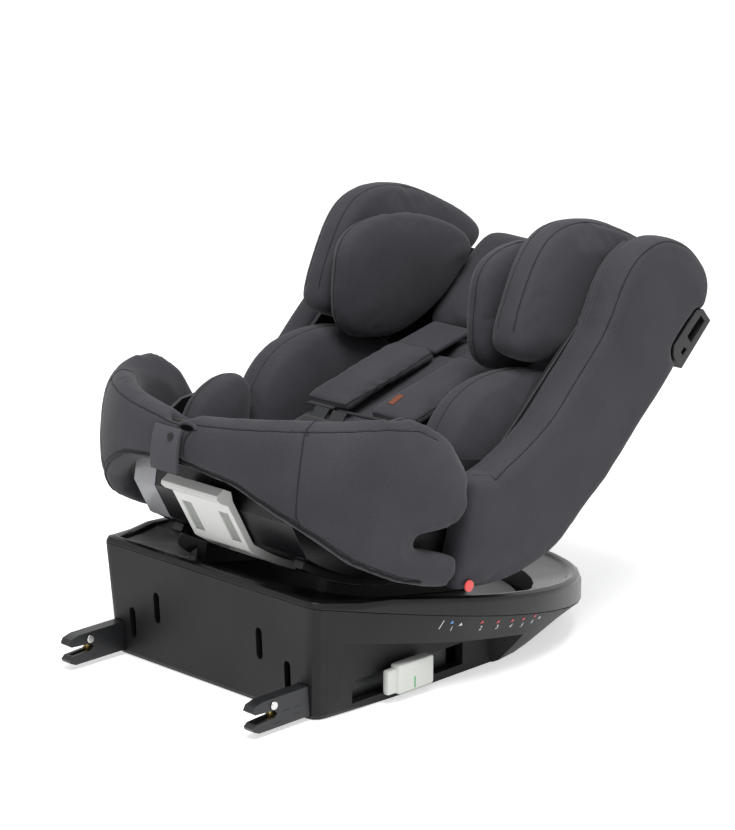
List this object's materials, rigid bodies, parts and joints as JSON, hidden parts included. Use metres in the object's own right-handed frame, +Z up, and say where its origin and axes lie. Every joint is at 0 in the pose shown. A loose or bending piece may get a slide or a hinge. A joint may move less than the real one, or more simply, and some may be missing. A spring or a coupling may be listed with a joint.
{
  "type": "convertible car seat",
  "caption": "Rotating convertible child car seat, charcoal padded bucket on a black tilted base with slide-out anchor arms",
  "frame": {"origin": "on the floor, straight under the point where the turntable axis crosses the rim of the lid", "axes": "X across the seat, +Y towards the leaning back, -Y towards the anchor arms, Z up"},
  "size_m": [0.434, 0.6284, 0.4561],
  "materials": {
    "housing_plastic": "moulded, fine grain, near black",
    "lid_plastic": "satin moulding, near black",
    "bearing_nylon": "unpainted nylon",
    "black_steel": "black coated steel",
    "plated_steel": "zinc plated",
    "brass_plate": "yellow passivated steel",
    "white_plastic": "off-white moulding",
    "dark_plastic": "moulded, dark grey",
    "keel_plastic": "smooth moulding",
    "light_grey_plastic": "satin light grey moulding",
    "red_plastic": "red moulding",
    "cover_fabric": "padded charcoal knit",
    "webbing": "woven black webbing"
  },
  "bodies": {
    "base": {"base_housing": "housing_plastic", "base_lid": "lid_plastic", "bearing_ring": "bearing_nylon", "guide_rail_left": "black_steel", "guide_rail_right": "black_steel"},
    "turntable": {"turntable": "dark_plastic", "turntable_retainer": "black_steel", "turntable_pivot_bolt": "black_steel", "recline_track_left": "dark_plastic", "recline_track_right": "dark_plastic"},
    "recline_lever": {"recline_lever": "light_grey_plastic"},
    "adjuster_button": {"adjuster_button": "dark_plastic"},
    "buckle_button": {"buckle_button": "red_plastic"},
    "headrest": {"headrest_shell": "dark_plastic", "headrest_pad": "cover_fabric", "headrest_wing_left": "cover_fabric", "headrest_wing_right": "cover_fabric", "head_insert_left": "cover_fabric", "head_insert_right": "cover_fabric"},
    "headrest_handle": {"headrest_handle": "light_grey_plastic"},
    "anchor_left": {"anchor_arm_left": "black_steel", "anchor_rivet_left": "plated_steel"},
    "hook_left": {"anchor_hook_left": "brass_plate"},
    "release_left": {"release_button_left": "white_plastic"},
    "anchor_right": {"anchor_arm_right": "black_steel", "anchor_rivet_right": "plated_steel"},
    "hook_right": {"anchor_hook_right": "brass_plate"},
    "release_right": {"release_button_right": "white_plastic"},
    "seat": {"adjuster_housing": "dark_plastic", "adjuster_strap": "webbing", "back_cushion": "cover_fabric", "belt_guide_left": "dark_plastic", "belt_guide_right": "dark_plastic", "buckle_body": "dark_plastic", "buckle_tongue_left": "black_steel", "buckle_tongue_right": "black_steel", "crotch_strap": "webbing", "front_cover": "cover_fabric", "hip_bolster_left": "cover_fabric", "hip_bolster_right": "cover_fabric", "infant_insert": "cover_fabric", "keel": "keel_plastic", "lever_pin": "black_steel", "lower_strap_left": "webbing", "lower_strap_right": "webbing", "recline_marker_left": "red_plastic", "recline_marker_right": "red_plastic", "recline_runner_left": "dark_plastic", "recline_runner_right": "dark_plastic", "seat_cushion": "cover_fabric", "seat_shell": "dark_plastic", "shoulder_pad_left": "cover_fabric", "shoulder_pad_right": "cover_fabric", "shoulder_strap_left": "webbing", "shoulder_strap_right": "webbing", "side_cover_left": "cover_fabric", "side_cover_right": "cover_fabric", "torso_bolster_left": "cover_fabric", "torso_bolster_right": "cover_fabric"}
  },
  "joints": [
    {"name": "anchor_slide_left", "type": "slide", "parent": "base", "child": "anchor_left", "axis": [0, -1, 0], "range_m": [-0.038, 0.044]},
    {"name": "hook_turn_left", "type": "hinge", "parent": "anchor_left", "child": "hook_left", "pos_m": [-0.14, -0.265, 0.03], "axis": [1, 0, 0], "range_deg": [0, 30], "stiffness_Nm_per_rad": 0.02, "springref_deg": -17.19},
    {"name": "release_press_left", "type": "slide", "parent": "anchor_left", "child": "release_left", "axis": [1, 0, 0], "range_m": [0, 0.004], "stiffness_N_per_m": 800, "springref_m": -0.002},
    {"name": "anchor_slide_right", "type": "slide", "parent": "base", "child": "anchor_right", "axis": [0, -1, 0], "range_m": [-0.038, 0.044]},
    {"name": "hook_turn_right", "type": "hinge", "parent": "anchor_right", "child": "hook_right", "pos_m": [0.14, -0.265, 0.03], "axis": [1, 0, 0], "range_deg": [0, 30], "stiffness_Nm_per_rad": 0.02, "springref_deg": -17.19},
    {"name": "release_press_right", "type": "slide", "parent": "anchor_right", "child": "release_right", "axis": [-1, 0, 0], "range_m": [0, 0.004], "stiffness_N_per_m": 800, "springref_m": -0.002},
    {"name": "turntable_turn", "type": "hinge", "parent": "base", "child": "turntable", "pos_m": [0, 0, 0.0975], "axis": [0, 0.1736, 0.9848], "continuous": true},
    {"name": "recline", "type": "hinge", "parent": "turntable", "child": "seat", "pos_m": [0, -0.00178, 0.43291], "axis": [1, 0, 0], "range_deg": [0, 16]},
    {"name": "recline_lever_pull", "type": "hinge", "parent": "seat", "child": "recline_lever", "pos_m": [0, -0.12603, 0.11749], "axis": [1, 0, 0], "range_deg": [0, 8], "stiffness_Nm_per_rad": 2, "springref_deg": -20.05},
    {"name": "adjuster_press", "type": "slide", "parent": "seat", "child": "adjuster_button", "axis": [0, -0.1736, -0.9848], "range_m": [0, 0.004], "stiffness_N_per_m": 800, "springref_m": -0.002},
    {"name": "buckle_press", "type": "slide", "parent": "seat", "child": "buckle_button", "axis": [0, 0.766, -0.6428], "range_m": [0, 0.004], "stiffness_N_per_m": 800, "springref_m": -0.002},
    {"name": "headrest_raise", "type": "slide", "parent": "seat", "child": "headrest", "axis": [0, 0.749, 0.6626], "range_m": [0, 0.12]},
    {"name": "headrest_handle_pull", "type": "slide", "parent": "headrest", "child": "headrest_handle", "axis": [0, 0.749, 0.6626], "range_m": [0, 0.01], "stiffness_N_per_m": 500, "springref_m": -0.003}
  ]
}
